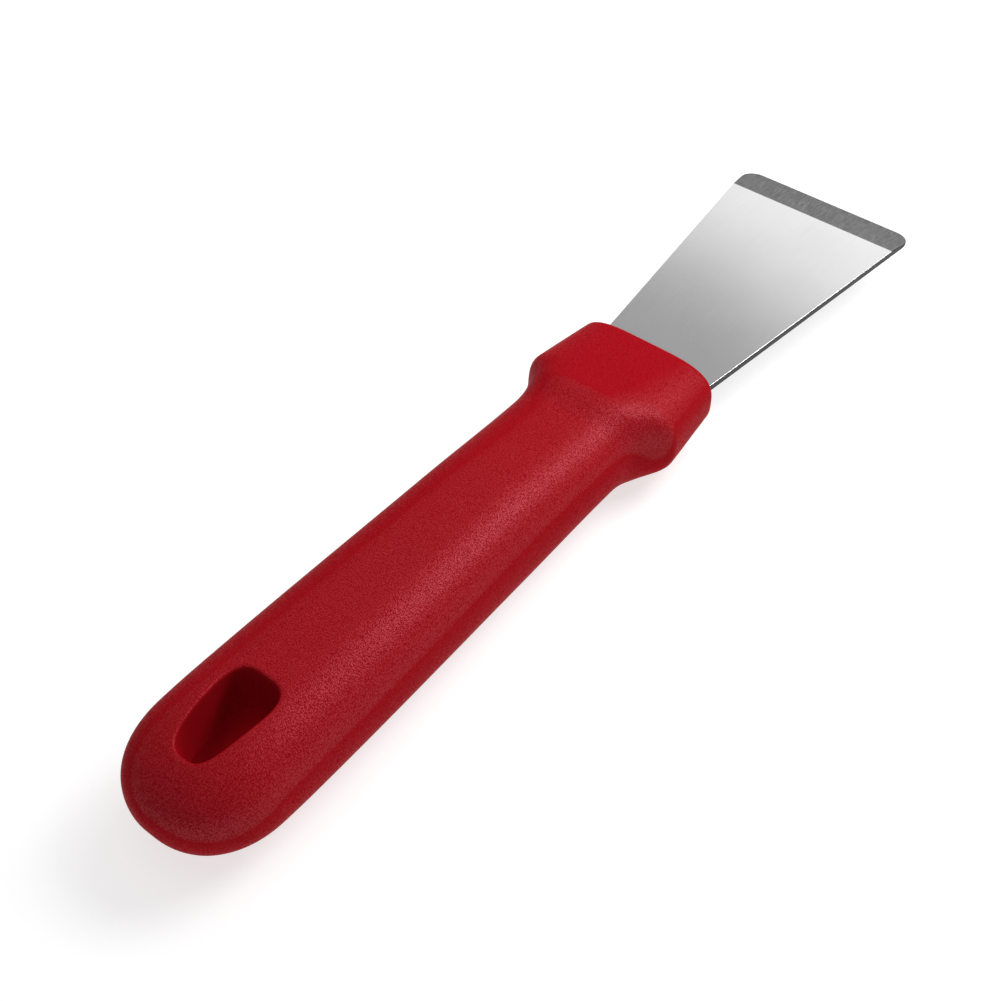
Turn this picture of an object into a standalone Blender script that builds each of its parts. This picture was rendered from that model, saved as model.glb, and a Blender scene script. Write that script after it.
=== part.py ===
"""Hive tool: a stainless scraper blade moulded into a plastic handle with a hang slot.

Units are metres. +Y runs from the handle's butt to the blade's ground edge, +X is to the
right and +Z is up. The tool lies on the handle's underside, and the origin is on that
surface, below the middle of the tool. Stations along the tool are measured from the butt.
"""
import math

import bmesh
import bpy

# Overall sizes
TOOL_LENGTH = 0.210
HANDLE_LENGTH = 0.1360
FIT_GAP = 0.0003

# Handle: full widths and thicknesses, and the stations where they apply
BODY_WIDTH = 0.0288
NECK_WIDTH = 0.0259
GUARD_WIDTH = 0.0350
FRONT_WIDTH = 0.0314
BODY_THICKNESS = 0.0210
NECK_THICKNESS = 0.0187
GUARD_THICKNESS = 0.0207
FRONT_THICKNESS = 0.0149
WIDTH_TAPER_START = 0.022
THICKNESS_TAPER_START = 0.080
NECK_STATION = 0.1065
GUARD_STATION = 0.1203
SIDE_FLARE_SKEW = 1.9
TOP_FLARE_START = 0.1073
TOP_FLARE_END = 0.1146

# Handle: how its ends and its cross-section are rounded
BUTT_PLAN_LENGTH = 0.0161
BUTT_SIDE_LENGTH = 0.0243
BUTT_EXPONENT = 2.2
FRONT_FILLET = 0.0006
FLAT_STRIP_WIDTH = 0.006
FLAT_STRIP_SHARE = 0.3
BODY_EXPONENT = 2.2
GUARD_EXPONENT = 2.6
FRONT_EXPONENT = 3.0

# Hang slot: an egg shape, wider towards the blade, a little narrower at half depth
SLOT_STATION = 0.0184
SLOT_LENGTH = 0.0180
SLOT_BUTT_WIDTH = 0.0080
SLOT_FRONT_WIDTH = 0.0118
SLOT_EXPONENT = 3.2
SLOT_DRAFT = 0.0003

# Blade: the part in the open
BLADE_THICKNESS = 0.0016
BLADE_ROOT_WIDTH = 0.0256
BLADE_TIP_WIDTH = 0.0432
TIP_CORNER_RADIUS = 0.0036
GRIND_LENGTH = 0.0085
EDGE_THICKNESS = 0.0004

# Blade: the part inside the handle
SHOULDER_DEPTH = 0.008
TANG_WIDTH = 0.014
TANG_DEPTH = 0.078
TANG_HOLE_DIAMETER = 0.006
TANG_HOLE_STATIONS = (0.068, 0.100)

# How finely the curved shapes are divided
QUADRANT_STEPS = 9
BUTT_STEPS = 9
BODY_STEPS = 8
FLARE_STEPS = 9
FILLET_STEPS = 2
SLOT_STEPS = 40
CORNER_STEPS = 5
HOLE_STEPS = 24

MID_HEIGHT = BODY_THICKNESS / 2
BUTT_Y = -TOOL_LENGTH / 2
CUTTER_MARGIN = 0.002


def blend(start, end, share):
    """Ease from start to end as share goes from 0 to 1."""
    share = min(max(share, 0.0), 1.0)
    return start + (end - start) * share * share * (3 - 2 * share)


def straight(start, end, share):
    return start + (end - start) * share


def end_round(station, length):
    """The share of the full size that a rounded butt has reached at a station."""
    if station >= length:
        return 1.0
    reach = 1 - station / length
    return (1 - reach ** BUTT_EXPONENT) ** (1 / BUTT_EXPONENT)


def half_width(station):
    if station < NECK_STATION:
        share = (station - WIDTH_TAPER_START) / (NECK_STATION - WIDTH_TAPER_START)
        width = blend(BODY_WIDTH, NECK_WIDTH, share)
    elif station < GUARD_STATION:
        share = (station - NECK_STATION) / (GUARD_STATION - NECK_STATION)
        width = blend(NECK_WIDTH, GUARD_WIDTH, share ** SIDE_FLARE_SKEW)
    else:
        share = (station - GUARD_STATION) / (HANDLE_LENGTH - GUARD_STATION)
        width = straight(GUARD_WIDTH, FRONT_WIDTH, share)
    return width / 2 * end_round(station, BUTT_PLAN_LENGTH)


def half_thickness(station):
    if station < TOP_FLARE_START:
        share = (station - THICKNESS_TAPER_START) / (TOP_FLARE_START - THICKNESS_TAPER_START)
        thickness = blend(BODY_THICKNESS, NECK_THICKNESS, share)
    elif station < TOP_FLARE_END:
        share = (station - TOP_FLARE_START) / (TOP_FLARE_END - TOP_FLARE_START)
        thickness = blend(NECK_THICKNESS, GUARD_THICKNESS, share)
    else:
        share = (station - TOP_FLARE_END) / (HANDLE_LENGTH - TOP_FLARE_END)
        thickness = straight(GUARD_THICKNESS, FRONT_THICKNESS, share)
    return thickness / 2 * end_round(station, BUTT_SIDE_LENGTH)


def section_exponent(station):
    """How square the cross-section is: rounder along the grip, squarer towards the front."""
    if station < GUARD_STATION:
        share = (station - NECK_STATION) / (GUARD_STATION - NECK_STATION)
        return blend(BODY_EXPONENT, GUARD_EXPONENT, share)
    share = (station - GUARD_STATION) / (HANDLE_LENGTH - GUARD_STATION)
    return straight(GUARD_EXPONENT, FRONT_EXPONENT, share)


def section(station, inset=0.0):
    """One closed ring of the handle: flat strips above and below, rounded shoulders between."""
    half_w = half_width(station) - inset
    half_t = half_thickness(station) - inset
    flat = min(FLAT_STRIP_WIDTH / 2, FLAT_STRIP_SHARE * half_w)
    power = 2 / section_exponent(station)
    quarter = []
    for step in range(QUADRANT_STEPS):
        angle = math.pi / 2 * step / QUADRANT_STEPS
        x = flat + (half_w - flat) * math.cos(angle) ** power
        quarter.append((x, half_t * math.sin(angle) ** power))
    quarter.append((flat, half_t))
    top_left = [(-x, z) for x, z in reversed(quarter)]
    bottom_left = [(-x, -z) for x, z in quarter[1:]]
    bottom_right = [(x, -z) for x, z in reversed(quarter[1:])]
    return quarter + top_left + bottom_left + bottom_right


def handle_stations():
    """Stations of the rings, closer together where the shape bends."""
    butt = [BUTT_SIDE_LENGTH * (step / BUTT_STEPS) ** 2 for step in range(1, BUTT_STEPS + 1)]
    body_run = NECK_STATION - BUTT_SIDE_LENGTH
    body = [BUTT_SIDE_LENGTH + body_run * step / BODY_STEPS for step in range(1, BODY_STEPS + 1)]
    flare_run = GUARD_STATION - NECK_STATION
    flare = [NECK_STATION + flare_run * step / FLARE_STEPS for step in range(1, FLARE_STEPS + 1)]
    front_middle = (GUARD_STATION + HANDLE_LENGTH) / 2
    return sorted(butt + body + flare + [TOP_FLARE_END, front_middle])


def handle_rings():
    rings = [(station, section(station)) for station in handle_stations()]
    for step in range(FILLET_STEPS + 1):
        angle = math.pi / 2 * step / FILLET_STEPS
        station = HANDLE_LENGTH - FRONT_FILLET * (1 - math.sin(angle))
        rings.append((station, section(station, FRONT_FILLET * (1 - math.cos(angle)))))
    return rings


def add_loop(bm, points):
    return [bm.verts.new(point) for point in points]


def bridge(bm, first, second):
    """Join two loops of the same length with quads."""
    count = len(first)
    for index in range(count):
        following = (index + 1) % count
        bm.faces.new((first[index], first[following], second[following], second[index]))


def finish_mesh(bm, name, smooth_angle=None):
    """Turn a bmesh into an object with its faces pointing out."""
    bmesh.ops.recalc_face_normals(bm, faces=bm.faces)
    mesh = bpy.data.meshes.new(name)
    bm.to_mesh(mesh)
    bm.free()
    if smooth_angle is not None:
        mesh.shade_smooth()
        mesh.set_sharp_from_angle(angle=smooth_angle)
    body = bpy.data.objects.new(name, mesh)
    bpy.context.scene.collection.objects.link(body)
    return body


def loft(name, loops, smooth_angle=None):
    """A closed solid through a list of loops, capped at both ends."""
    bm = bmesh.new()
    rings = [add_loop(bm, points) for points in loops]
    for first, second in zip(rings, rings[1:]):
        bridge(bm, first, second)
    bm.faces.new(rings[0])
    bm.faces.new(rings[-1])
    return finish_mesh(bm, name, smooth_angle)


def cut(body, cutter):
    """Subtract a cutter from a body with a live Boolean."""
    cutter.hide_render = True
    cutter.display_type = "WIRE"
    modifier = body.modifiers.new(cutter.name, "BOOLEAN")
    modifier.operation = "DIFFERENCE"
    modifier.solver = "EXACT"
    modifier.object = cutter


def slot_loop(height, grow):
    """The slot's outline at one height, grown by a little all round."""
    loop = []
    for step in range(SLOT_STEPS):
        angle = 2 * math.pi * step / SLOT_STEPS
        along = math.copysign(abs(math.cos(angle)) ** (2 / SLOT_EXPONENT), math.cos(angle))
        across = math.copysign(abs(math.sin(angle)) ** (2 / SLOT_EXPONENT), math.sin(angle))
        half_w = straight(SLOT_BUTT_WIDTH, SLOT_FRONT_WIDTH, (1 + along) / 2) / 2 + grow
        y = BUTT_Y + SLOT_STATION + along * (SLOT_LENGTH / 2 + grow)
        loop.append((across * half_w, y, height))
    return loop


def slot_cutter():
    low = -CUTTER_MARGIN
    high = BODY_THICKNESS + CUTTER_MARGIN
    mid = MID_HEIGHT
    loops = [slot_loop(low, 0.0), slot_loop(mid, -SLOT_DRAFT), slot_loop(high, 0.0)]
    return loft("slot_cutter", loops)


def disc(name, station, diameter):
    """A round cutter that stands through the blade at one station."""
    bm = bmesh.new()
    bmesh.ops.create_cone(
        bm,
        cap_ends=True,
        segments=HOLE_STEPS,
        radius1=diameter / 2,
        radius2=diameter / 2,
        depth=4 * BLADE_THICKNESS,
    )
    body = finish_mesh(bm, name)
    body.location = (0.0, BUTT_Y + station, MID_HEIGHT)
    return body


def blade_half_width(station):
    share = (station - HANDLE_LENGTH) / (TOOL_LENGTH - HANDLE_LENGTH)
    return straight(BLADE_ROOT_WIDTH, BLADE_TIP_WIDTH, share) / 2


def tang_side(grow=0.0):
    """The right side of the part inside the handle, from the tang's end to its shoulder."""
    shoulder = HANDLE_LENGTH - SHOULDER_DEPTH
    tang_end = HANDLE_LENGTH - TANG_DEPTH
    half_tang = TANG_WIDTH / 2 + grow
    return [
        (half_tang, tang_end - grow),
        (half_tang, shoulder - grow),
        (blade_half_width(shoulder) + grow, shoulder - grow),
    ]


def tip_corner():
    """The rounded corner on the right, from the side to the ground edge."""
    slope = (BLADE_TIP_WIDTH - BLADE_ROOT_WIDTH) / 2 / (TOOL_LENGTH - HANDLE_LENGTH)
    lean = math.atan(slope)
    radius = TIP_CORNER_RADIUS
    centre_x = BLADE_TIP_WIDTH / 2 - slope * radius - radius / math.cos(lean)
    corner = []
    for step in range(CORNER_STEPS + 1):
        angle = straight(-lean, math.pi / 2, step / CORNER_STEPS)
        x = centre_x + radius * math.cos(angle)
        corner.append((x, TOOL_LENGTH - radius + radius * math.sin(angle)))
    return corner


def blade_top(station):
    """Height of the upper face: level, then falling along the grind to the edge."""
    grind_start = TOOL_LENGTH - GRIND_LENGTH
    share = max(0.0, (station - grind_start) / GRIND_LENGTH)
    return straight(BLADE_THICKNESS, EDGE_THICKNESS, share) - BLADE_THICKNESS / 2


def mirrored(side):
    return side + [(-x, station) for x, station in reversed(side)]


def make_blade():
    """Sheet with a flat underside; its upper face breaks where the grind starts."""
    grind_start = TOOL_LENGTH - GRIND_LENGTH
    lower_side = tang_side() + [(blade_half_width(grind_start), grind_start)]
    side = lower_side + tip_corner()
    outline = mirrored(side)
    bm = bmesh.new()
    bottom_z = MID_HEIGHT - BLADE_THICKNESS / 2
    bottom = add_loop(bm, [(x, BUTT_Y + s, bottom_z) for x, s in outline])
    top = add_loop(bm, [(x, BUTT_Y + s, MID_HEIGHT + blade_top(s)) for x, s in outline])
    bridge(bm, bottom, top)
    bm.faces.new(bottom)
    flat_count = len(lower_side)
    bm.faces.new(top[:flat_count] + top[-flat_count:])
    bm.faces.new(top[flat_count - 1:len(top) - flat_count + 1])
    blade = finish_mesh(bm, "blade")
    for index, station in enumerate(TANG_HOLE_STATIONS):
        cut(blade, disc(f"tang_hole_cutter_{index + 1}", station, TANG_HOLE_DIAMETER))
    return blade


def pocket_cutter():
    """The space around the tang, without the pillars that fill the tang's holes."""
    past_front = HANDLE_LENGTH + CUTTER_MARGIN
    side = tang_side(FIT_GAP) + [(blade_half_width(past_front) + FIT_GAP, past_front)]
    outline = mirrored(side)
    reach = BLADE_THICKNESS / 2 + FIT_GAP
    low = [(x, BUTT_Y + s, MID_HEIGHT - reach) for x, s in outline]
    high = [(x, BUTT_Y + s, MID_HEIGHT + reach) for x, s in outline]
    cutter = loft("pocket_cutter", [low, high])
    for index, station in enumerate(TANG_HOLE_STATIONS):
        pillar = disc(f"pillar_{index + 1}", station, TANG_HOLE_DIAMETER - 2 * FIT_GAP)
        cut(cutter, pillar)
    return cutter


def make_handle():
    bm = bmesh.new()
    rings = []
    for station, ring in handle_rings():
        y = BUTT_Y + station
        rings.append(add_loop(bm, [(x, y, MID_HEIGHT + z) for x, z in ring]))
    for first, second in zip(rings, rings[1:]):
        bridge(bm, first, second)
    tip = bm.verts.new((0.0, BUTT_Y, MID_HEIGHT))
    for index, vertex in enumerate(rings[0]):
        bm.faces.new((vertex, rings[0][(index + 1) % len(rings[0])], tip))
    bm.faces.new(rings[-1])
    handle = finish_mesh(bm, "handle", smooth_angle=math.radians(35))
    cut(handle, slot_cutter())
    cut(handle, pocket_cutter())
    return handle


def principled(name, colour, roughness, metallic):
    material = bpy.data.materials.new(name)
    material.use_nodes = True
    shader = material.node_tree.nodes["Principled BSDF"]
    shader.inputs["Base Color"].default_value = (*colour, 1.0)
    shader.inputs["Roughness"].default_value = roughness
    shader.inputs["Metallic"].default_value = metallic
    return material


def clear_scene():
    for item in list(bpy.data.objects):
        bpy.data.objects.remove(item, do_unlink=True)


def main():
    clear_scene()
    blade = make_blade()
    blade.data.materials.append(principled("satin_steel", (0.55, 0.55, 0.56), 0.32, 1.0))
    handle = make_handle()
    handle.data.materials.append(principled("red_plastic", (0.40, 0.012, 0.022), 0.5, 0.0))


main()
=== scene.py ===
"""Looks of the hive tool: the moulded handle, the steel blade, their finishes and a small studio.

Units are metres, in the CAD frame: +Y runs from the handle's butt to the blade's edge and +Z is
up. Stations along the tool are measured from the butt, and heights in the handle's own mesh
from its mid-plane.
"""

import math

import bmesh
import bpy
from mathutils import Matrix, Vector


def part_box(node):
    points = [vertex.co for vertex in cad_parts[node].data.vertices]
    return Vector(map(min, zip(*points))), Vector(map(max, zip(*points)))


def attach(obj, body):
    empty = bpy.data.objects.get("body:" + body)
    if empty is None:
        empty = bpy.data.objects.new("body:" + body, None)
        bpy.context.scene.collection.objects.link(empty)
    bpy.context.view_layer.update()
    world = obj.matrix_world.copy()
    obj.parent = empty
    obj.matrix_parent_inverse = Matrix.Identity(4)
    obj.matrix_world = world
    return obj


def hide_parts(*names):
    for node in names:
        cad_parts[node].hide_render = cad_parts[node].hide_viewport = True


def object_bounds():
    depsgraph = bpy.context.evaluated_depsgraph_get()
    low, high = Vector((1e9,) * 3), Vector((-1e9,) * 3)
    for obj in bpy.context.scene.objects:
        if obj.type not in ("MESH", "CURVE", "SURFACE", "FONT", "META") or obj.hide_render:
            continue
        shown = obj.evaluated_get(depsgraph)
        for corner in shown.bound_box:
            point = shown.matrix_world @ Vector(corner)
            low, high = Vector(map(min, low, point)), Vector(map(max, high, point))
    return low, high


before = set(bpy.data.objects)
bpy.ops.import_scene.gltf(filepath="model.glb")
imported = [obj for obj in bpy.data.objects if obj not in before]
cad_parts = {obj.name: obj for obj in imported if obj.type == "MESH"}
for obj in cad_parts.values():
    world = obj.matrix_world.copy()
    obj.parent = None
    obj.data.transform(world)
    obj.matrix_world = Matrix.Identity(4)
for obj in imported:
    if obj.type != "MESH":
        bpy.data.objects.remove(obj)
cad_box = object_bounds()

# Places and sizes read from the frame
HANDLE_LOW, HANDLE_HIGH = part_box("handle")
BLADE_LOW, BLADE_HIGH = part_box("blade")
BUTT_Y = HANDLE_LOW.y
HANDLE_LENGTH = HANDLE_HIGH.y - BUTT_Y
TOOL_LENGTH = BLADE_HIGH.y - BUTT_Y
BODY_THICKNESS = HANDLE_HIGH.z - HANDLE_LOW.z
GUARD_WIDTH = HANDLE_HIGH.x - HANDLE_LOW.x
BLADE_THICKNESS = BLADE_HIGH.z - BLADE_LOW.z
TANG_END = BLADE_LOW.y - BUTT_Y
MID_HEIGHT = (HANDLE_LOW.z + HANDLE_HIGH.z) / 2
JOINT_GAP = 0.0001

# Handle: widths and thicknesses, and the stations where they apply, as in the CAD model
BODY_WIDTH = 0.0288
NECK_WIDTH = 0.0259
FRONT_WIDTH = 0.0314
NECK_THICKNESS = 0.0187
GUARD_THICKNESS = 0.0207
FRONT_THICKNESS = 0.0149
WIDTH_TAPER_START = 0.022
THICKNESS_TAPER_START = 0.080
NECK_STATION = 0.1065
GUARD_STATION = 0.1203
SIDE_FLARE_SKEW = 1.9
TOP_FLARE_START = 0.1073
TOP_FLARE_END = 0.1146
BUTT_PLAN_LENGTH = 0.0161
BUTT_SIDE_LENGTH = 0.0243
BUTT_EXPONENT = 2.2
FRONT_FILLET = 0.0006
FLAT_STRIP_WIDTH = 0.006
FLAT_STRIP_SHARE = 0.3
BODY_EXPONENT = 2.2
GUARD_EXPONENT = 2.6
FRONT_EXPONENT = 3.0
GUARD_SOFTENING = 0.0005
SOFTENING_STEPS = 3

# Hang slot, as in the CAD model, with its rounded rim and the mould line at half depth
SLOT_STATION = 0.0184
SLOT_LENGTH = 0.0180
SLOT_BUTT_WIDTH = 0.0080
SLOT_FRONT_WIDTH = 0.0118
SLOT_EXPONENT = 3.2
SLOT_DRAFT = 0.0003
SLOT_RIM_BUTT = 0.0004
SLOT_RIM_FRONT = 0.0007
MOULD_LINE_HEIGHT = 0.00004
MOULD_LINE_HALF_WIDTH = 0.0001
SMOOTH_FINISH_START = 1 / 3

# Blade, as in the CAD model
BLADE_ROOT_WIDTH = 0.0256
BLADE_TIP_WIDTH = 0.0432
TIP_CORNER_RADIUS = 0.0036
GRIND_LENGTH = 0.0085
EDGE_THICKNESS = 0.0004
SHOULDER_DEPTH = 0.008
TANG_WIDTH = 0.014
TANG_HOLE_DIAMETER = 0.006
TANG_HOLE_STATIONS = (0.068, 0.100)
EDGE_BREAK = 0.0001
GRIND_BREAK = 0.0004
TANG_POINTS = 3
POCKET_OVERSHOOT = 0.002

# How finely the curved shapes are divided
QUADRANT_STEPS = 24
RING_SPACING = 0.0005
BUTT_PATCH_END = 0.033
OUTLINE_STEPS = 112
PATCH_STEPS = 26
PATCH_CROWDING = 2.2
RIM_STEPS = 6
WALL_STEPS = 8
FILLET_STEPS = 5
CORNER_STEPS = 12
HOLE_STEPS = 48
EDGE_STEPS = 3
GRIND_STEPS = 3
LONGEST_RAY = 0.05
RAY_HALVINGS = 40

# Angles, in degrees, from which an edge is shaded as sharp
HANDLE_SHARP_ANGLE = 40
BLADE_SHARP_ANGLE = 35

# Plastic: linear colours, gloss and grain. Gloss goes from PLASTIC_GLOSS down to RIM_GLOSS as
# the surface turns away, and each grain scales it by a factor from GRAIN_SPARKLE.
PLASTIC_DARK = (0.288, 0.0036, 0.0084)
PLASTIC_LIGHT = (0.370, 0.0054, 0.0108)
PLASTIC_SHEEN = (0.89, 0.236, 0.293)
PLASTIC_ROUGHNESS = (0.34, 0.46)
PLASTIC_GLOSS = 0.62
RIM_GLOSS = 0.009
GLOSS_FADE = (0.12, 0.40)
GRAIN_SCALE = 4200.0
GRAIN_DEPTH = 0.00008
GRAIN_TONES = (0.35, 0.65)
GRAIN_SPARKLE = (0.1, 2.0)
SPARKLE_TONES = (0.42, 0.60)

# Slot walls: drag lines drawn out along the slot's depth
DRAG_STRETCH = (1.0, 1.0, 0.08)
DRAG_SCALE = 1500.0
DRAG_DEPTH = 0.00004
DRAG_STRENGTH = 0.12
DRAG_COLOURS = (0.3, 0.6)
DRAG_ROUGHNESS = (0.36, 0.48)

# Steel: linear colours, and how each surface's lines run, how fine and how deep they are
SATIN_DARK = (0.60, 0.60, 0.60)
SATIN_LIGHT = (0.64, 0.64, 0.64)
SATIN_STRETCH = (1.0, 0.02, 1.0)
SATIN_SCALE = 5200.0
SATIN_DEPTH = 0.00001
SATIN_STRENGTH = 0.03
SATIN_ROUGHNESS = (0.09, 0.13)
CLOUD_SCALE = 45.0
GROUND_DARK = (0.235, 0.235, 0.24)
GROUND_LIGHT = (0.40, 0.40, 0.405)
GROUND_STRETCH = (1.0, 0.06, 1.0)
GROUND_SCALE = 2600.0
GROUND_DEPTH = 0.00004
GROUND_STRENGTH = 0.35
GROUND_ROUGHNESS = (0.30, 0.45)
# The cut side's near-black colours are painted shade; its torn mottling is the cut's own.
PAINTED_SHADE_CUT_DARK = (0.004, 0.004, 0.0045)
PAINTED_SHADE_CUT_LIGHT = (0.075, 0.075, 0.078)
SHEARED_STRETCH = (0.25, 0.25, 3.0)
SHEARED_SCALE = 1200.0
SHEARED_DEPTH = 0.00006
SHEARED_STRENGTH = 0.5
SHEARED_ROUGHNESS = (0.35, 0.6)

# Camera: it stands to the right of the butt and looks down along the tool
CAMERA_PLACE = (0.11695, -0.16773, 0.21397)
CAMERA_TARGET = (-0.00054, -0.01631, 0.0105)
CAMERA_LENS = 53.946
CAMERA_ROLL = 0.6487
CAMERA_SENSOR = 36.0
CAMERA_NEAR = 0.01

# Lights: name, place, size, power in watts and whether glossy surfaces mirror them; all
# point at the middle of the tool
LIGHT_TARGET = (0.0, 0.02, 0.01)
SOFT_LIGHTS = (
    ("key_light", (0.15, 0.30, 0.35), 0.20, 1.26, True),
    ("butt_light", (0.0, -0.10, 0.35), 0.20, 0.10, False),
    ("top_light", (0.0, 0.15, 0.25), 0.15, 0.31, False),
)
WHITE = (1.0, 1.0, 1.0, 1.0)

# Floor: its glow near the tool and far from it, and the distances where the glow changes
FLOOR_HALF_SIZE = 6.0
FLOOR_DROP = 0.0002
FLOOR_COLOUR = (0.45, 0.45, 0.45, 1.0)
FLOOR_ROUGHNESS = 0.9
FLOOR_GLOW = 0.68
FAR_GLOW = 1.0
FAR_REACH = (0.25, 0.60)

# Surround, and the white panel beyond the blade's edge. The panel is a faint haze that grows
# evenly with the reach, a soft edge where it rises to full white, and a soft far end. Its right
# end fades in between two headings, in radians.
SURROUND = 0.26
PANEL_TILT = 0.21
LEAST_RISE = 0.02
HAZE_REACHES = (0.50, 1.90)
HAZE_LEVELS = (0.30, 1.084)
PANEL_EDGE = (0.935, 1.165)
PANEL_STEP = 0.73
PANEL_END = (1.30, 1.90)
PANEL_SIDES = (0.61, 1.13)


def blend(start, end, share):
    """Ease from start to end as share goes from 0 to 1."""
    share = min(max(share, 0.0), 1.0)
    return start + (end - start) * share * share * (3 - 2 * share)


def straight(start, end, share):
    """Go evenly from start to end."""
    return start + (end - start) * share


# ---------------------------------------------------------------- the handle's outer shape


def end_round(station, length):
    """The share of the full size that a rounded butt has reached at a station."""
    if station >= length:
        return 1.0
    reach = 1 - max(station, 0.0) / length
    return (1 - reach ** BUTT_EXPONENT) ** (1 / BUTT_EXPONENT)


def sharp_width(station):
    """The handle's width before its corners are softened and its butt is rounded."""
    if station < NECK_STATION:
        share = (station - WIDTH_TAPER_START) / (NECK_STATION - WIDTH_TAPER_START)
        return blend(BODY_WIDTH, NECK_WIDTH, share)
    if station < GUARD_STATION:
        share = (station - NECK_STATION) / (GUARD_STATION - NECK_STATION)
        return blend(NECK_WIDTH, GUARD_WIDTH, share ** SIDE_FLARE_SKEW)
    share = (station - GUARD_STATION) / (HANDLE_LENGTH - GUARD_STATION)
    return straight(GUARD_WIDTH, FRONT_WIDTH, share)


def sharp_thickness(station):
    """The handle's thickness before its corners are softened and its butt is rounded."""
    if station < TOP_FLARE_START:
        share = (station - THICKNESS_TAPER_START) / (TOP_FLARE_START - THICKNESS_TAPER_START)
        return blend(BODY_THICKNESS, NECK_THICKNESS, share)
    if station < TOP_FLARE_END:
        share = (station - TOP_FLARE_START) / (TOP_FLARE_END - TOP_FLARE_START)
        return blend(NECK_THICKNESS, GUARD_THICKNESS, share)
    share = (station - TOP_FLARE_END) / (HANDLE_LENGTH - TOP_FLARE_END)
    return straight(GUARD_THICKNESS, FRONT_THICKNESS, share)


def softened(profile, station):
    """A profile averaged over a short stretch, which rounds the guard's corners."""
    reach = min(GUARD_SOFTENING, HANDLE_LENGTH - station)
    steps = range(-SOFTENING_STEPS, SOFTENING_STEPS + 1)
    offsets = [reach * step / SOFTENING_STEPS for step in steps]
    return sum(profile(station + offset) for offset in offsets) / len(offsets)


def half_width(station):
    return softened(sharp_width, station) / 2 * end_round(station, BUTT_PLAN_LENGTH)


def half_thickness(station):
    return softened(sharp_thickness, station) / 2 * end_round(station, BUTT_SIDE_LENGTH)


def section_exponent(station):
    """How square the cross-section is: rounder along the grip, squarer towards the front."""
    if station < GUARD_STATION:
        share = (station - NECK_STATION) / (GUARD_STATION - NECK_STATION)
        return blend(BODY_EXPONENT, GUARD_EXPONENT, share)
    share = (station - GUARD_STATION) / (HANDLE_LENGTH - GUARD_STATION)
    return straight(GUARD_EXPONENT, FRONT_EXPONENT, share)


def flat_half(half_w):
    """Half the width of the flat strip, which gets narrower where the handle does."""
    return min(FLAT_STRIP_WIDTH / 2, FLAT_STRIP_SHARE * half_w)


def section(station, inset=0.0):
    """One closed ring of the handle: flat strips above and below, rounded shoulders between."""
    half_w = half_width(station) - inset
    half_t = half_thickness(station) - inset
    flat = flat_half(half_w)
    power = 2 / section_exponent(station)
    quarter = []
    for step in range(QUADRANT_STEPS):
        angle = math.pi / 2 * step / QUADRANT_STEPS
        x = flat + (half_w - flat) * math.cos(angle) ** power
        quarter.append((x, half_t * math.sin(angle) ** power))
    quarter.append((flat, half_t))
    top_left = [(-x, z) for x, z in reversed(quarter)]
    bottom_left = [(-x, -z) for x, z in quarter[1:]]
    bottom_right = [(x, -z) for x, z in reversed(quarter[1:])]
    return quarter + top_left + bottom_left + bottom_right


def surface_height(x, station):
    """Height of the handle's upper surface over a point of the plan."""
    half_w = half_width(station)
    if half_w <= 0.0:
        return 0.0
    flat = flat_half(half_w)
    across = max(0.0, (abs(x) - flat) / (half_w - flat))
    if across >= 1.0:
        return 0.0
    exponent = section_exponent(station)
    return half_thickness(station) * (1 - across ** exponent) ** (1 / exponent)


# ---------------------------------------------------------------- mesh helpers


def place(x, station, height):
    """A point of the handle or blade in the CAD frame."""
    return Vector((x, BUTT_Y + station, MID_HEIGHT + height))


def add_loop(bm, points):
    """New vertices at a row of points."""
    return [bm.verts.new(point) for point in points]


def bridge(bm, first, second, closed=True):
    """Join two rows of the same length with quads."""
    count = len(first)
    faces = []
    for index in range(count if closed else count - 1):
        following = (index + 1) % count
        corners = (first[index], first[following], second[following], second[index])
        faces.append(bm.faces.new(corners))
    return faces


def make_object(bm, name):
    """Turn a finished mesh into an object whose faces point outwards."""
    bmesh.ops.recalc_face_normals(bm, faces=bm.faces)
    mesh = bpy.data.meshes.new(name)
    bm.to_mesh(mesh)
    bm.free()
    body = bpy.data.objects.new(name, mesh)
    bpy.context.scene.collection.objects.link(body)
    return body


def subtract(body, cutters):
    """Cut solids out of a body, keep the result as its mesh and remove the cutters."""
    for cutter in cutters:
        modifier = body.modifiers.new(cutter.name, "BOOLEAN")
        modifier.operation = "DIFFERENCE"
        modifier.solver = "EXACT"
        modifier.object = cutter
    graph = bpy.context.evaluated_depsgraph_get()
    result = bpy.data.meshes.new_from_object(body.evaluated_get(graph))
    old = body.data
    body.modifiers.clear()
    body.data = result
    result.name = body.name
    bpy.data.meshes.remove(old)
    for cutter in cutters:
        bpy.data.objects.remove(cutter, do_unlink=True)


def finish_piece(body, node, sharp_angle):
    """Shade a piece, fix it to the body and hide the CAD node that it stands for."""
    body.data.shade_smooth()
    body.data.set_sharp_from_angle(angle=math.radians(sharp_angle))
    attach(body, "root")
    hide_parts(node)


# ---------------------------------------------------------------- the handle's mesh


def reach_of(inside, angle):
    """How far a ray from the slot's middle goes before it leaves a plan shape."""
    direction_x = math.sin(angle)
    direction_s = math.cos(angle)
    near = 0.0
    far = LONGEST_RAY
    for _ in range(RAY_HALVINGS):
        middle = (near + far) / 2
        if inside(middle * direction_x, SLOT_STATION + middle * direction_s):
            near = middle
        else:
            far = middle
    return near


def inside_slot(x, station, grow):
    """Whether a plan point lies in the slot's egg-shaped outline, grown all round."""
    along = (station - SLOT_STATION) / (SLOT_LENGTH / 2 + grow)
    if abs(along) >= 1:
        return False
    half_w = straight(SLOT_BUTT_WIDTH, SLOT_FRONT_WIDTH, (1 + along) / 2) / 2 + grow
    return abs(along) ** SLOT_EXPONENT + abs(x / half_w) ** SLOT_EXPONENT < 1


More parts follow.
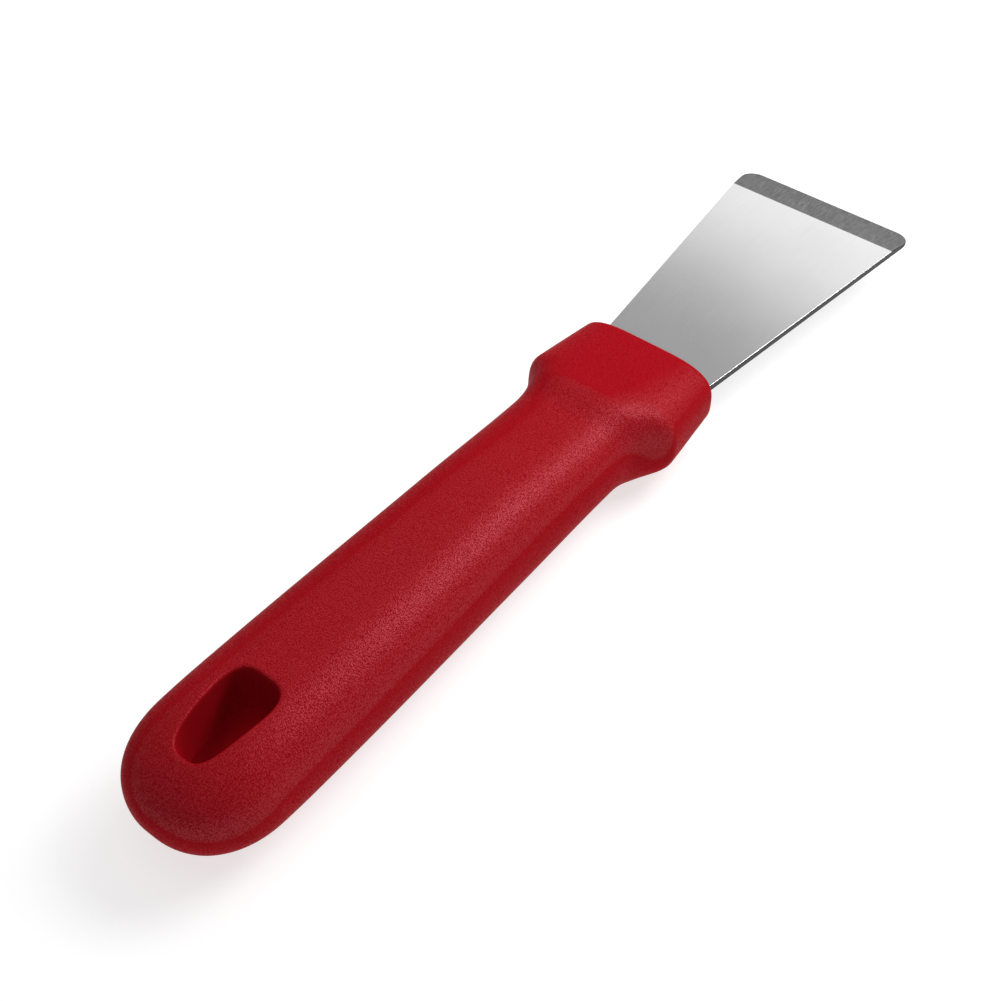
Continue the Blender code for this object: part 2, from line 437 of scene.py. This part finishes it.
def rim_radius(angle):
    """The slot's rim is rounder at the slot's end towards the blade."""
    return straight(SLOT_RIM_BUTT, SLOT_RIM_FRONT, (1 + math.cos(angle)) / 2)


def slot_points(angles, grows):
    """The slot's outline, grown by each ray's own amount, as plan points on those rays."""
    points = []
    for angle, grow in zip(angles, grows):
        reach = reach_of(lambda x, s: inside_slot(x, s, grow), angle)
        points.append((reach * math.sin(angle), SLOT_STATION + reach * math.cos(angle)))
    return points


def butt_outline():
    """Plan points of the butt's outline, from left to right, without its two ends."""
    def inside(x, station):
        return station > 0 and abs(x) < half_width(station)
    corner = math.atan2(half_width(BUTT_PATCH_END), BUTT_PATCH_END - SLOT_STATION)
    points = []
    for step in range(1, OUTLINE_STEPS):
        angle = straight(2 * math.pi - corner, corner, step / OUTLINE_STEPS)
        reach = reach_of(inside, angle)
        points.append((reach * math.sin(angle), SLOT_STATION + reach * math.cos(angle)))
    return points


def add_butt_patch(bm, border, side):
    """The upper (side 1) or lower (side -1) skin of the butt, around the slot."""
    plan = [(vertex.co.x, vertex.co.y - BUTT_Y) for vertex in border]
    angles = [math.atan2(x, station - SLOT_STATION) for x, station in plan]
    rim = slot_points(angles, [rim_radius(angle) for angle in angles])
    rows = []
    for step in range(PATCH_STEPS):
        share = 1 - (1 - step / PATCH_STEPS) ** PATCH_CROWDING
        row = []
        for (rim_x, rim_s), (out_x, out_s) in zip(rim, plan):
            x = straight(rim_x, out_x, share)
            station = straight(rim_s, out_s, share)
            row.append(bm.verts.new(place(x, station, side * surface_height(x, station))))
        rows.append(row)
    for first, second in zip(rows, rows[1:]):
        bridge(bm, first, second)
    bridge(bm, rows[-1], border)
    return rows[0], angles


def add_slot_side(bm, rim_row, angles, side):
    """The rounded rim and the wall of the slot down to the loop beside the mould line."""
    rim_heights = [abs(vertex.co.z - MID_HEIGHT) for vertex in rim_row]
    radii = [rim_radius(angle) for angle in angles]
    previous = rim_row
    for step in range(1, RIM_STEPS + 1):
        turn = math.pi / 2 * step / RIM_STEPS
        plan = slot_points(angles, [radius * (1 - math.sin(turn)) for radius in radii])
        depths = [radius * (1 - math.cos(turn)) for radius in radii]
        row = [
            bm.verts.new(place(x, s, side * (height - depth)))
            for (x, s), height, depth in zip(plan, rim_heights, depths)
        ]
        bridge(bm, previous, row)
        previous = row
    top_heights = [height - radius for height, radius in zip(rim_heights, radii)]
    for step in range(1, WALL_STEPS + 1):
        share = step / WALL_STEPS
        plan = slot_points(angles, [-SLOT_DRAFT * share] * len(angles))
        row = [
            bm.verts.new(place(x, s, side * straight(height, MOULD_LINE_HALF_WIDTH, share)))
            for (x, s), height in zip(plan, top_heights)
        ]
        bridge(bm, previous, row)
        previous = row
    return previous


def add_slot(bm, upper, lower):
    """Both halves of the slot's wall, joined by the fine ridge where the mould halves met."""
    angles = upper[1]
    high = add_slot_side(bm, upper[0], angles, 1)
    low = add_slot_side(bm, lower[0], angles, -1)
    crest_grow = -SLOT_DRAFT - MOULD_LINE_HEIGHT
    crest_plan = slot_points(angles, [crest_grow] * len(angles))
    crest = [bm.verts.new(place(x, s, 0.0)) for x, s in crest_plan]
    bridge(bm, high, crest)
    bridge(bm, crest, low)


def ring_stations():
    """Stations of the rings from the butt patch to the start of the front fillet."""
    end = HANDLE_LENGTH - FRONT_FILLET
    count = round((end - BUTT_PATCH_END) / RING_SPACING)
    return [straight(BUTT_PATCH_END, end, step / count) for step in range(count + 1)]


def handle_rings():
    """Each ring's station and outline, from the butt patch to the front face's rim."""
    rings = [(station, section(station)) for station in ring_stations()]
    for step in range(1, FILLET_STEPS + 1):
        angle = math.pi / 2 * step / FILLET_STEPS
        station = HANDLE_LENGTH - FRONT_FILLET * (1 - math.sin(angle))
        rings.append((station, section(station, FRONT_FILLET * (1 - math.cos(angle)))))
    return rings


def make_handle():
    """Rings for the grip and guard, two patches round the slot, and the tang's pocket."""
    bm = bmesh.new()
    rings = []
    for station, ring in handle_rings():
        rings.append(add_loop(bm, [place(x, station, z) for x, z in ring]))
    for first, second in zip(rings, rings[1:]):
        bridge(bm, first, second)
    bm.faces.new(rings[-1])
    outline = [bm.verts.new(place(x, station, 0.0)) for x, station in butt_outline()]
    half = 2 * QUADRANT_STEPS + 1
    over = rings[0][:half + 1]
    under = [rings[0][0]] + rings[0][:half - 1:-1]
    upper = add_butt_patch(bm, over + outline, 1)
    lower = add_butt_patch(bm, under + outline, -1)
    add_slot(bm, upper, lower)
    handle = make_object(bm, "moulded_handle")
    subtract(handle, [pocket_cutter()])
    return handle


# ---------------------------------------------------------------- the blade's mesh


def blade_half_width(station):
    """Half the blade's width, on the straight taper that the shoulder continues."""
    share = (station - HANDLE_LENGTH) / (TOOL_LENGTH - HANDLE_LENGTH)
    return straight(BLADE_ROOT_WIDTH, BLADE_TIP_WIDTH, share) / 2


def tang_side(grow=0.0):
    """The right side of the part inside the handle, from the tang's end to its shoulder."""
    shoulder = HANDLE_LENGTH - SHOULDER_DEPTH
    half_tang = TANG_WIDTH / 2 + grow
    return [
        (half_tang, TANG_END - grow),
        (half_tang, shoulder - grow),
        (blade_half_width(shoulder) + grow, shoulder - grow),
    ]


def tip_corner():
    """The rounded corner on the right, from the side to the ground edge."""
    slope = (BLADE_TIP_WIDTH - BLADE_ROOT_WIDTH) / 2 / (TOOL_LENGTH - HANDLE_LENGTH)
    lean = math.atan(slope)
    radius = TIP_CORNER_RADIUS
    centre_x = BLADE_TIP_WIDTH / 2 - slope * radius - radius / math.cos(lean)
    corner = []
    for step in range(CORNER_STEPS + 1):
        angle = straight(-lean, math.pi / 2, step / CORNER_STEPS)
        x = min(centre_x + radius * math.cos(angle), BLADE_HIGH.x)
        corner.append((x, TOOL_LENGTH - radius + radius * math.sin(angle)))
    return corner


def blade_top(station):
    """Height of the upper face: level, a soft bend, then the straight grind to the edge."""
    slope = (BLADE_THICKNESS - EDGE_THICKNESS) / GRIND_LENGTH
    past_line = station - (TOOL_LENGTH - GRIND_LENGTH)
    if past_line < -GRIND_BREAK:
        return BLADE_THICKNESS / 2
    if past_line < GRIND_BREAK:
        return BLADE_THICKNESS / 2 - slope * (past_line + GRIND_BREAK) ** 2 / (4 * GRIND_BREAK)
    return BLADE_THICKNESS / 2 - slope * past_line


def mirrored(side):
    """A closed outline from its right side."""
    return side + [(-x, station) for x, station in reversed(side)]


def disc(name, station, diameter):
    """A round cutter that stands through the blade at one station."""
    bm = bmesh.new()
    bmesh.ops.create_cone(
        bm,
        cap_ends=True,
        segments=HOLE_STEPS,
        radius1=diameter / 2,
        radius2=diameter / 2,
        depth=4 * BLADE_THICKNESS,
        matrix=Matrix.Translation(place(0.0, station, 0.0)),
    )
    return make_object(bm, name)


def discs(name, diameter):
    """One round cutter for each of the tang's holes."""
    return [disc(f"{name}_{index}", s, diameter) for index, s in enumerate(TANG_HOLE_STATIONS)]


def pocket_cutter():
    """The space around the tang, without the pillars that fill the tang's holes."""
    past_front = HANDLE_LENGTH + POCKET_OVERSHOOT
    side = tang_side(JOINT_GAP) + [(blade_half_width(past_front) + JOINT_GAP, past_front)]
    reach = BLADE_THICKNESS / 2 + JOINT_GAP
    bm = bmesh.new()
    low = add_loop(bm, [place(x, s, -reach) for x, s in mirrored(side)])
    high = add_loop(bm, [place(x, s, reach) for x, s in mirrored(side)])
    bridge(bm, low, high)
    bm.faces.new(low)
    bm.faces.new(high)
    cutter = make_object(bm, "pocket_cutter")
    subtract(cutter, discs("pillar", TANG_HOLE_DIAMETER - 2 * JOINT_GAP))
    return cutter


# The blade's material numbers
SATIN, GROUND, SHADED_CUT = range(3)


def inset_loop(outline, distance):
    """A closed outline, listed anticlockwise, moved inwards by one distance all round."""
    count = len(outline)
    moved = []
    for index in range(count):
        before = Vector(outline[index - 1])
        here = Vector(outline[index])
        after = Vector(outline[(index + 1) % count])
        arriving = (here - before).normalized()
        leaving = (after - here).normalized()
        first = Vector((-arriving.y, arriving.x))
        second = Vector((-leaving.y, leaving.x))
        moved.append(here + (first + second) * distance / (1 + first.dot(second)))
    return moved


def blade_side():
    """The right side from the tang to the edge, with points where the grind line bends."""
    side = tang_side()
    grind_start = TOOL_LENGTH - GRIND_LENGTH
    for step in range(-GRIND_STEPS, GRIND_STEPS + 1):
        station = grind_start + GRIND_BREAK * step / GRIND_STEPS
        side.append((blade_half_width(station), station))
    return side + tip_corner()


def edge_steps():
    """Inset and depth of the loops round a broken edge, from the face's rim to the side."""
    angles = [math.pi / 2 * step / EDGE_STEPS for step in range(EDGE_STEPS + 1)]
    return [(EDGE_BREAK * (1 - math.sin(a)), EDGE_BREAK * (1 - math.cos(a))) for a in angles]


def add_blade_loop(bm, outline, inset, depth, upper):
    """One loop round the blade, set in from its side and from its upper or lower face."""
    row = []
    for x, station in inset_loop(outline, inset):
        height = blade_top(station) - depth if upper else depth - BLADE_THICKNESS / 2
        row.append(bm.verts.new(place(x, station, height)))
    return row


def cover_blade(bm, row, side_count):
    """Close one face: a single polygon over the shank, then strips towards the edge."""
    first = row[:TANG_POINTS + 1] + row[-TANG_POINTS - 1:]
    bm.faces.new(first).material_index = SATIN
    for index in range(TANG_POINTS, side_count - 1):
        strip = (row[index], row[index + 1], row[-index - 2], row[-index - 1])
        face = bm.faces.new(strip)
        middle = sum(vertex.co.y for vertex in strip) / 4 - BUTT_Y
        ground = middle > TOOL_LENGTH - GRIND_LENGTH and row[0].co.z > MID_HEIGHT
        face.material_index = GROUND if ground else SATIN


def side_finish(face, level):
    """The broken edges shine along the blade's sides; the cut and the ground tip are matte, and
    their near-black colour is painted shade.
    """
    cut_levels = range(EDGE_STEPS - 1, EDGE_STEPS + 2)
    middle = face.calc_center_median().y - BUTT_Y
    matte_and_shaded = level in cut_levels or middle > TOOL_LENGTH - GRIND_LENGTH
    return SHADED_CUT if matte_and_shaded else SATIN


def make_blade():
    """A sheared sheet with a ground edge; every outer edge is slightly broken."""
    side = blade_side()
    outline = mirrored(side)
    bm = bmesh.new()
    rows = [add_blade_loop(bm, outline, inset, depth, False) for inset, depth in edge_steps()]
    for inset, depth in reversed(edge_steps()):
        rows.append(add_blade_loop(bm, outline, inset, depth, True))
    for level, (first, second) in enumerate(zip(rows, rows[1:])):
        for face in bridge(bm, first, second):
            face.material_index = side_finish(face, level)
    cover_blade(bm, rows[0], len(side))
    cover_blade(bm, rows[-1], len(side))
    blade = make_object(bm, "steel_blade")
    subtract(blade, discs("tang_hole", TANG_HOLE_DIAMETER))
    return blade


# ---------------------------------------------------------------- materials


class Nodes:
    """A short way to write one material's node tree."""

    def __init__(self, name):
        self.material = bpy.data.materials.new(name)
        self.material.use_nodes = True
        self.tree = self.material.node_tree
        self.shader = self.tree.nodes["Principled BSDF"]

    def add(self, kind, **settings):
        node = self.tree.nodes.new(kind)
        for key, value in settings.items():
            setattr(node, key, value)
        return node

    def link(self, source, target):
        self.tree.links.new(source, target)

    def place_of(self, stretch=(1.0, 1.0, 1.0)):
        """Object coordinates, stretched to give a pattern its direction."""
        mapping = self.add("ShaderNodeMapping")
        mapping.inputs["Scale"].default_value = stretch
        self.link(self.add("ShaderNodeTexCoord").outputs["Object"], mapping.inputs["Vector"])
        return mapping.outputs["Vector"]

    def noise(self, place, scale, detail=2.0, roughness=0.5):
        """A noise pattern from 0 to 1."""
        node = self.add("ShaderNodeTexNoise")
        self.link(place, node.inputs["Vector"])
        node.inputs["Scale"].default_value = scale
        node.inputs["Detail"].default_value = detail
        node.inputs["Roughness"].default_value = roughness
        return node.outputs["Fac"]

    def spread(self, value, low, high, from_low=0.3, from_high=0.7):
        """Map a value from one range onto another."""
        node = self.add("ShaderNodeMapRange")
        self.link(value, node.inputs["Value"])
        node.inputs["From Min"].default_value = from_low
        node.inputs["From Max"].default_value = from_high
        node.inputs["To Min"].default_value = low
        node.inputs["To Max"].default_value = high
        return node.outputs["Result"]

    def colour_between(self, factor, first, second):
        """A colour from the first to the second as the factor goes from 0 to 1."""
        node = self.add("ShaderNodeMix", data_type="RGBA")
        self.link(factor, node.inputs["Factor"])
        node.inputs["A"].default_value = (*first, 1.0)
        node.inputs["B"].default_value = (*second, 1.0)
        return node.outputs["Result"]

    def bump(self, height, strength, distance):
        """A normal that follows a height pattern."""
        node = self.add("ShaderNodeBump")
        node.inputs["Strength"].default_value = strength
        node.inputs["Distance"].default_value = distance
        self.link(height, node.inputs["Height"])
        return node.outputs["Normal"]


def grained_gloss(m, grain):
    """Gloss that differs from grain to grain and fades where the surface turns away."""
    facing = m.add("ShaderNodeLayerWeight")
    facing.inputs["Blend"].default_value = 0.5
    faded = m.spread(facing.outputs["Facing"], PLASTIC_GLOSS, RIM_GLOSS, *GLOSS_FADE)
    sparkle = m.spread(grain, *GRAIN_SPARKLE, *SPARKLE_TONES)
    gloss = m.add("ShaderNodeMath", operation="MULTIPLY")
    m.link(faded, gloss.inputs[0])
    m.link(sparkle, gloss.inputs[1])
    m.link(gloss.outputs["Value"], m.shader.inputs["Specular IOR Level"])


def grained_plastic():
    """Matte red moulding with a fine spark-eroded grain."""
    m = Nodes("red_plastic_grained")
    grain = m.noise(m.place_of(), GRAIN_SCALE, 1.0)
    shade = m.spread(grain, 0.0, 1.0, *GRAIN_TONES)
    tone = m.colour_between(shade, PLASTIC_DARK, PLASTIC_LIGHT)
    m.link(tone, m.shader.inputs["Base Color"])
    m.link(m.spread(grain, *PLASTIC_ROUGHNESS), m.shader.inputs["Roughness"])
    m.link(m.bump(grain, 1.0, GRAIN_DEPTH), m.shader.inputs["Normal"])
    m.shader.inputs["Specular Tint"].default_value = (*PLASTIC_SHEEN, 1.0)
    grained_gloss(m, grain)
    return m.material


def smooth_plastic():
    """The slot's walls: the same plastic off a polished core, with faint drag lines."""
    m = Nodes("red_plastic_smooth")
    drag = m.noise(m.place_of(DRAG_STRETCH), DRAG_SCALE)
    tone = m.colour_between(m.spread(drag, *DRAG_COLOURS), PLASTIC_DARK, PLASTIC_LIGHT)
    m.link(tone, m.shader.inputs["Base Color"])
    m.link(m.spread(drag, *DRAG_ROUGHNESS), m.shader.inputs["Roughness"])
    m.link(m.bump(drag, DRAG_STRENGTH, DRAG_DEPTH), m.shader.inputs["Normal"])
    m.shader.inputs["Specular IOR Level"].default_value = 0.0
    return m.material


def steel_from(m, tone, roughness, relief):
    """Join a steel's colour, roughness and relief to its shader."""
    m.link(tone, m.shader.inputs["Base Color"])
    m.link(roughness, m.shader.inputs["Roughness"])
    m.link(relief, m.shader.inputs["Normal"])
    m.shader.inputs["Metallic"].default_value = 1.0
    return m.material


def satin_steel():
    """Rolled stainless: nearly smooth, with faint lines along the sheet."""
    m = Nodes("satin_steel")
    lines = m.noise(m.place_of(SATIN_STRETCH), SATIN_SCALE, 3.0)
    cloud = m.noise(m.place_of(), CLOUD_SCALE, 3.0)
    tone = m.colour_between(m.spread(cloud, 0.0, 1.0), SATIN_DARK, SATIN_LIGHT)
    relief = m.bump(lines, SATIN_STRENGTH, SATIN_DEPTH)
    return steel_from(m, tone, m.spread(lines, *SATIN_ROUGHNESS), relief)


def ground_steel():
    """The bevel: coarse grinding lines across the edge."""
    m = Nodes("ground_steel")
    lines = m.noise(m.place_of(GROUND_STRETCH), GROUND_SCALE, 4.0, 0.7)
    tone = m.colour_between(m.spread(lines, 0.0, 1.0), GROUND_DARK, GROUND_LIGHT)
    relief = m.bump(lines, GROUND_STRENGTH, GROUND_DEPTH)
    return steel_from(m, tone, m.spread(lines, *GROUND_ROUGHNESS), relief)


def sheared_steel_painted_shade():
    """The sheet's cut side: matte and torn along its length, with painted shade that makes it
    near black.
    """
    m = Nodes("sheared_steel_painted_shade")
    tears = m.noise(m.place_of(SHEARED_STRETCH), SHEARED_SCALE, 4.0, 0.65)
    tone = m.colour_between(m.spread(tears, 0.0, 1.0), PAINTED_SHADE_CUT_DARK, PAINTED_SHADE_CUT_LIGHT)
    relief = m.bump(tears, SHEARED_STRENGTH, SHEARED_DEPTH)
    return steel_from(m, tone, m.spread(tears, *SHEARED_ROUGHNESS), relief)


def dress_handle(handle):
    """Grain outside, and the smooth finish on the slot's walls."""
    for material in (grained_plastic(), smooth_plastic()):
        handle.data.materials.append(material)
    for face in handle.data.polygons:
        x, y, z = face.center
        station = y - BUTT_Y
        limit = rim_radius(math.atan2(x, station - SLOT_STATION)) * SMOOTH_FINISH_START
        deep = surface_height(x, station) - abs(z - MID_HEIGHT) > limit
        face.material_index = 1 if deep and inside_slot(x, station, limit) else 0


def dress_blade(blade):
    """The three steels, in the order of the material numbers."""
    for material in (satin_steel(), ground_steel(), sheared_steel_painted_shade()):
        blade.data.materials.append(material)


# ---------------------------------------------------------------- the studio


def floor_glow(m):
    """The floor's own glow, stronger far from the tool so that the horizon stays white."""
    away = m.add("ShaderNodeVectorMath", operation="LENGTH")
    m.link(m.add("ShaderNodeTexCoord").outputs["Object"], away.inputs[0])
    return m.spread(away.outputs["Value"], FLOOR_GLOW, FAR_GLOW, *FAR_REACH)


def make_floor():
    """A plain pale sheet just under the tool; its own glow keeps the shadow faint."""
    bm = bmesh.new()
    bmesh.ops.create_grid(bm, x_segments=1, y_segments=1, size=FLOOR_HALF_SIZE)
    floor = make_object(bm, "studio_floor")
    floor.location = (0.0, 0.0, cad_box[0][2] - FLOOR_DROP)
    m = Nodes("pale_floor")
    m.shader.inputs["Base Color"].default_value = FLOOR_COLOUR
    m.shader.inputs["Roughness"].default_value = FLOOR_ROUGHNESS
    m.shader.inputs["Specular IOR Level"].default_value = 0.0
    m.shader.inputs["Emission Color"].default_value = WHITE
    m.link(floor_glow(m), m.shader.inputs["Emission Strength"])
    floor.data.materials.append(m.material)


def aim(thing, target):
    """Turn a light or the camera towards a point."""
    direction = Vector(target) - thing.location
    thing.rotation_euler = direction.to_track_quat("-Z", "Y").to_euler()


def soft_light(name, place, size, power, mirrored_in_gloss):
    """One square area light."""
    light = bpy.data.lights.new(name, "AREA")
    light.size = size
    light.energy = power
    body = bpy.data.objects.new(name, light)
    body.location = place
    body.visible_glossy = mirrored_in_gloss
    bpy.context.scene.collection.objects.link(body)
    aim(body, LIGHT_TARGET)


def make_lights():
    for settings in SOFT_LIGHTS:
        soft_light(*settings)


def world_math(tree, operation, first, second):
    """One math node of the world; numbers become fixed inputs."""
    node = tree.nodes.new("ShaderNodeMath")
    node.operation = operation
    for index, value in enumerate((first, second)):
        if isinstance(value, (int, float)):
            node.inputs[index].default_value = value
        else:
            tree.links.new(value, node.inputs[index])
    return node.outputs["Value"]


def world_range(tree, value, reaches, levels, easing="SMOOTHSTEP"):
    """Ease one value of the world from one level to another between two reaches."""
    node = tree.nodes.new("ShaderNodeMapRange")
    node.interpolation_type = easing
    tree.links.new(value, node.inputs["Value"])
    node.inputs["From Min"].default_value, node.inputs["From Max"].default_value = reaches
    node.inputs["To Min"].default_value, node.inputs["To Max"].default_value = levels
    return node.outputs["Result"]


def panel_brightness(tree, direction):
    """Brightness of the wide white panel beyond the blade, by how steeply it is seen.

    The steepness is the horizontal reach towards the panel for one unit of rise, so a level
    blade mirrors the panel's upper edge as a straight soft line.
    """
    parts = tree.nodes.new("ShaderNodeSeparateXYZ")
    tree.links.new(direction, parts.inputs["Vector"])
    across = world_math(tree, "MULTIPLY", parts.outputs["X"], PANEL_TILT)
    along = world_math(tree, "ADD", across, parts.outputs["Y"])
    rise = world_math(tree, "MAXIMUM", parts.outputs["Z"], LEAST_RISE)
    reach = world_math(tree, "DIVIDE", along, rise)
    haze = world_range(tree, reach, HAZE_REACHES, HAZE_LEVELS, "LINEAR")
    step = world_range(tree, reach, PANEL_EDGE, (0.0, PANEL_STEP))
    far_end = world_range(tree, reach, PANEL_END, (1.0, 0.0))
    heading = world_math(tree, "ARCTAN2", parts.outputs["Y"], parts.outputs["X"])
    right_end = world_range(tree, heading, PANEL_SIDES, (0.0, 1.0))
    lit = world_math(tree, "ADD", haze, step)
    ends = world_math(tree, "MULTIPLY", far_end, right_end)
    return world_math(tree, "MULTIPLY", lit, ends)


def make_world():
    """A dim surround with the white panel; the camera itself sees plain white."""
    world = bpy.data.worlds.new("studio")
    world.use_nodes = True
    tree = world.node_tree
    direction = tree.nodes.new("ShaderNodeTexCoord").outputs["Generated"]
    seen = tree.nodes.new("ShaderNodeLightPath").outputs["Is Camera Ray"]
    panel = panel_brightness(tree, direction)
    lit = world_math(tree, "MAXIMUM", panel, SURROUND)
    strength = world_math(tree, "MAXIMUM", lit, seen)
    background = tree.nodes["Background"]
    background.inputs["Color"].default_value = WHITE
    tree.links.new(strength, background.inputs["Strength"])
    bpy.context.scene.world = world


def make_camera():
    """The view from above the butt's right side, along the tool."""
    camera = bpy.data.objects.new("camera", bpy.data.cameras.new("camera"))
    camera.data.sensor_width = CAMERA_SENSOR
    camera.data.lens = CAMERA_LENS
    camera.data.clip_start = CAMERA_NEAR
    camera.location = CAMERA_PLACE
    aim(camera, CAMERA_TARGET)
    roll = Matrix.Rotation(math.radians(CAMERA_ROLL), 4, "Z")
    camera.matrix_world = Matrix.LocRotScale(camera.location, camera.rotation_euler, None) @ roll
    bpy.context.scene.collection.objects.link(camera)
    bpy.context.scene.camera = camera


handle = make_handle()
dress_handle(handle)
finish_piece(handle, "handle", HANDLE_SHARP_ANGLE)

blade = make_blade()
dress_blade(blade)
finish_piece(blade, "blade", BLADE_SHARP_ANGLE)
blade.modifiers.new("flat_faces", "WEIGHTED_NORMAL").keep_sharp = True

make_floor()
make_world()
make_lights()
make_camera()
bpy.context.scene.view_settings.view_transform = "Standard"
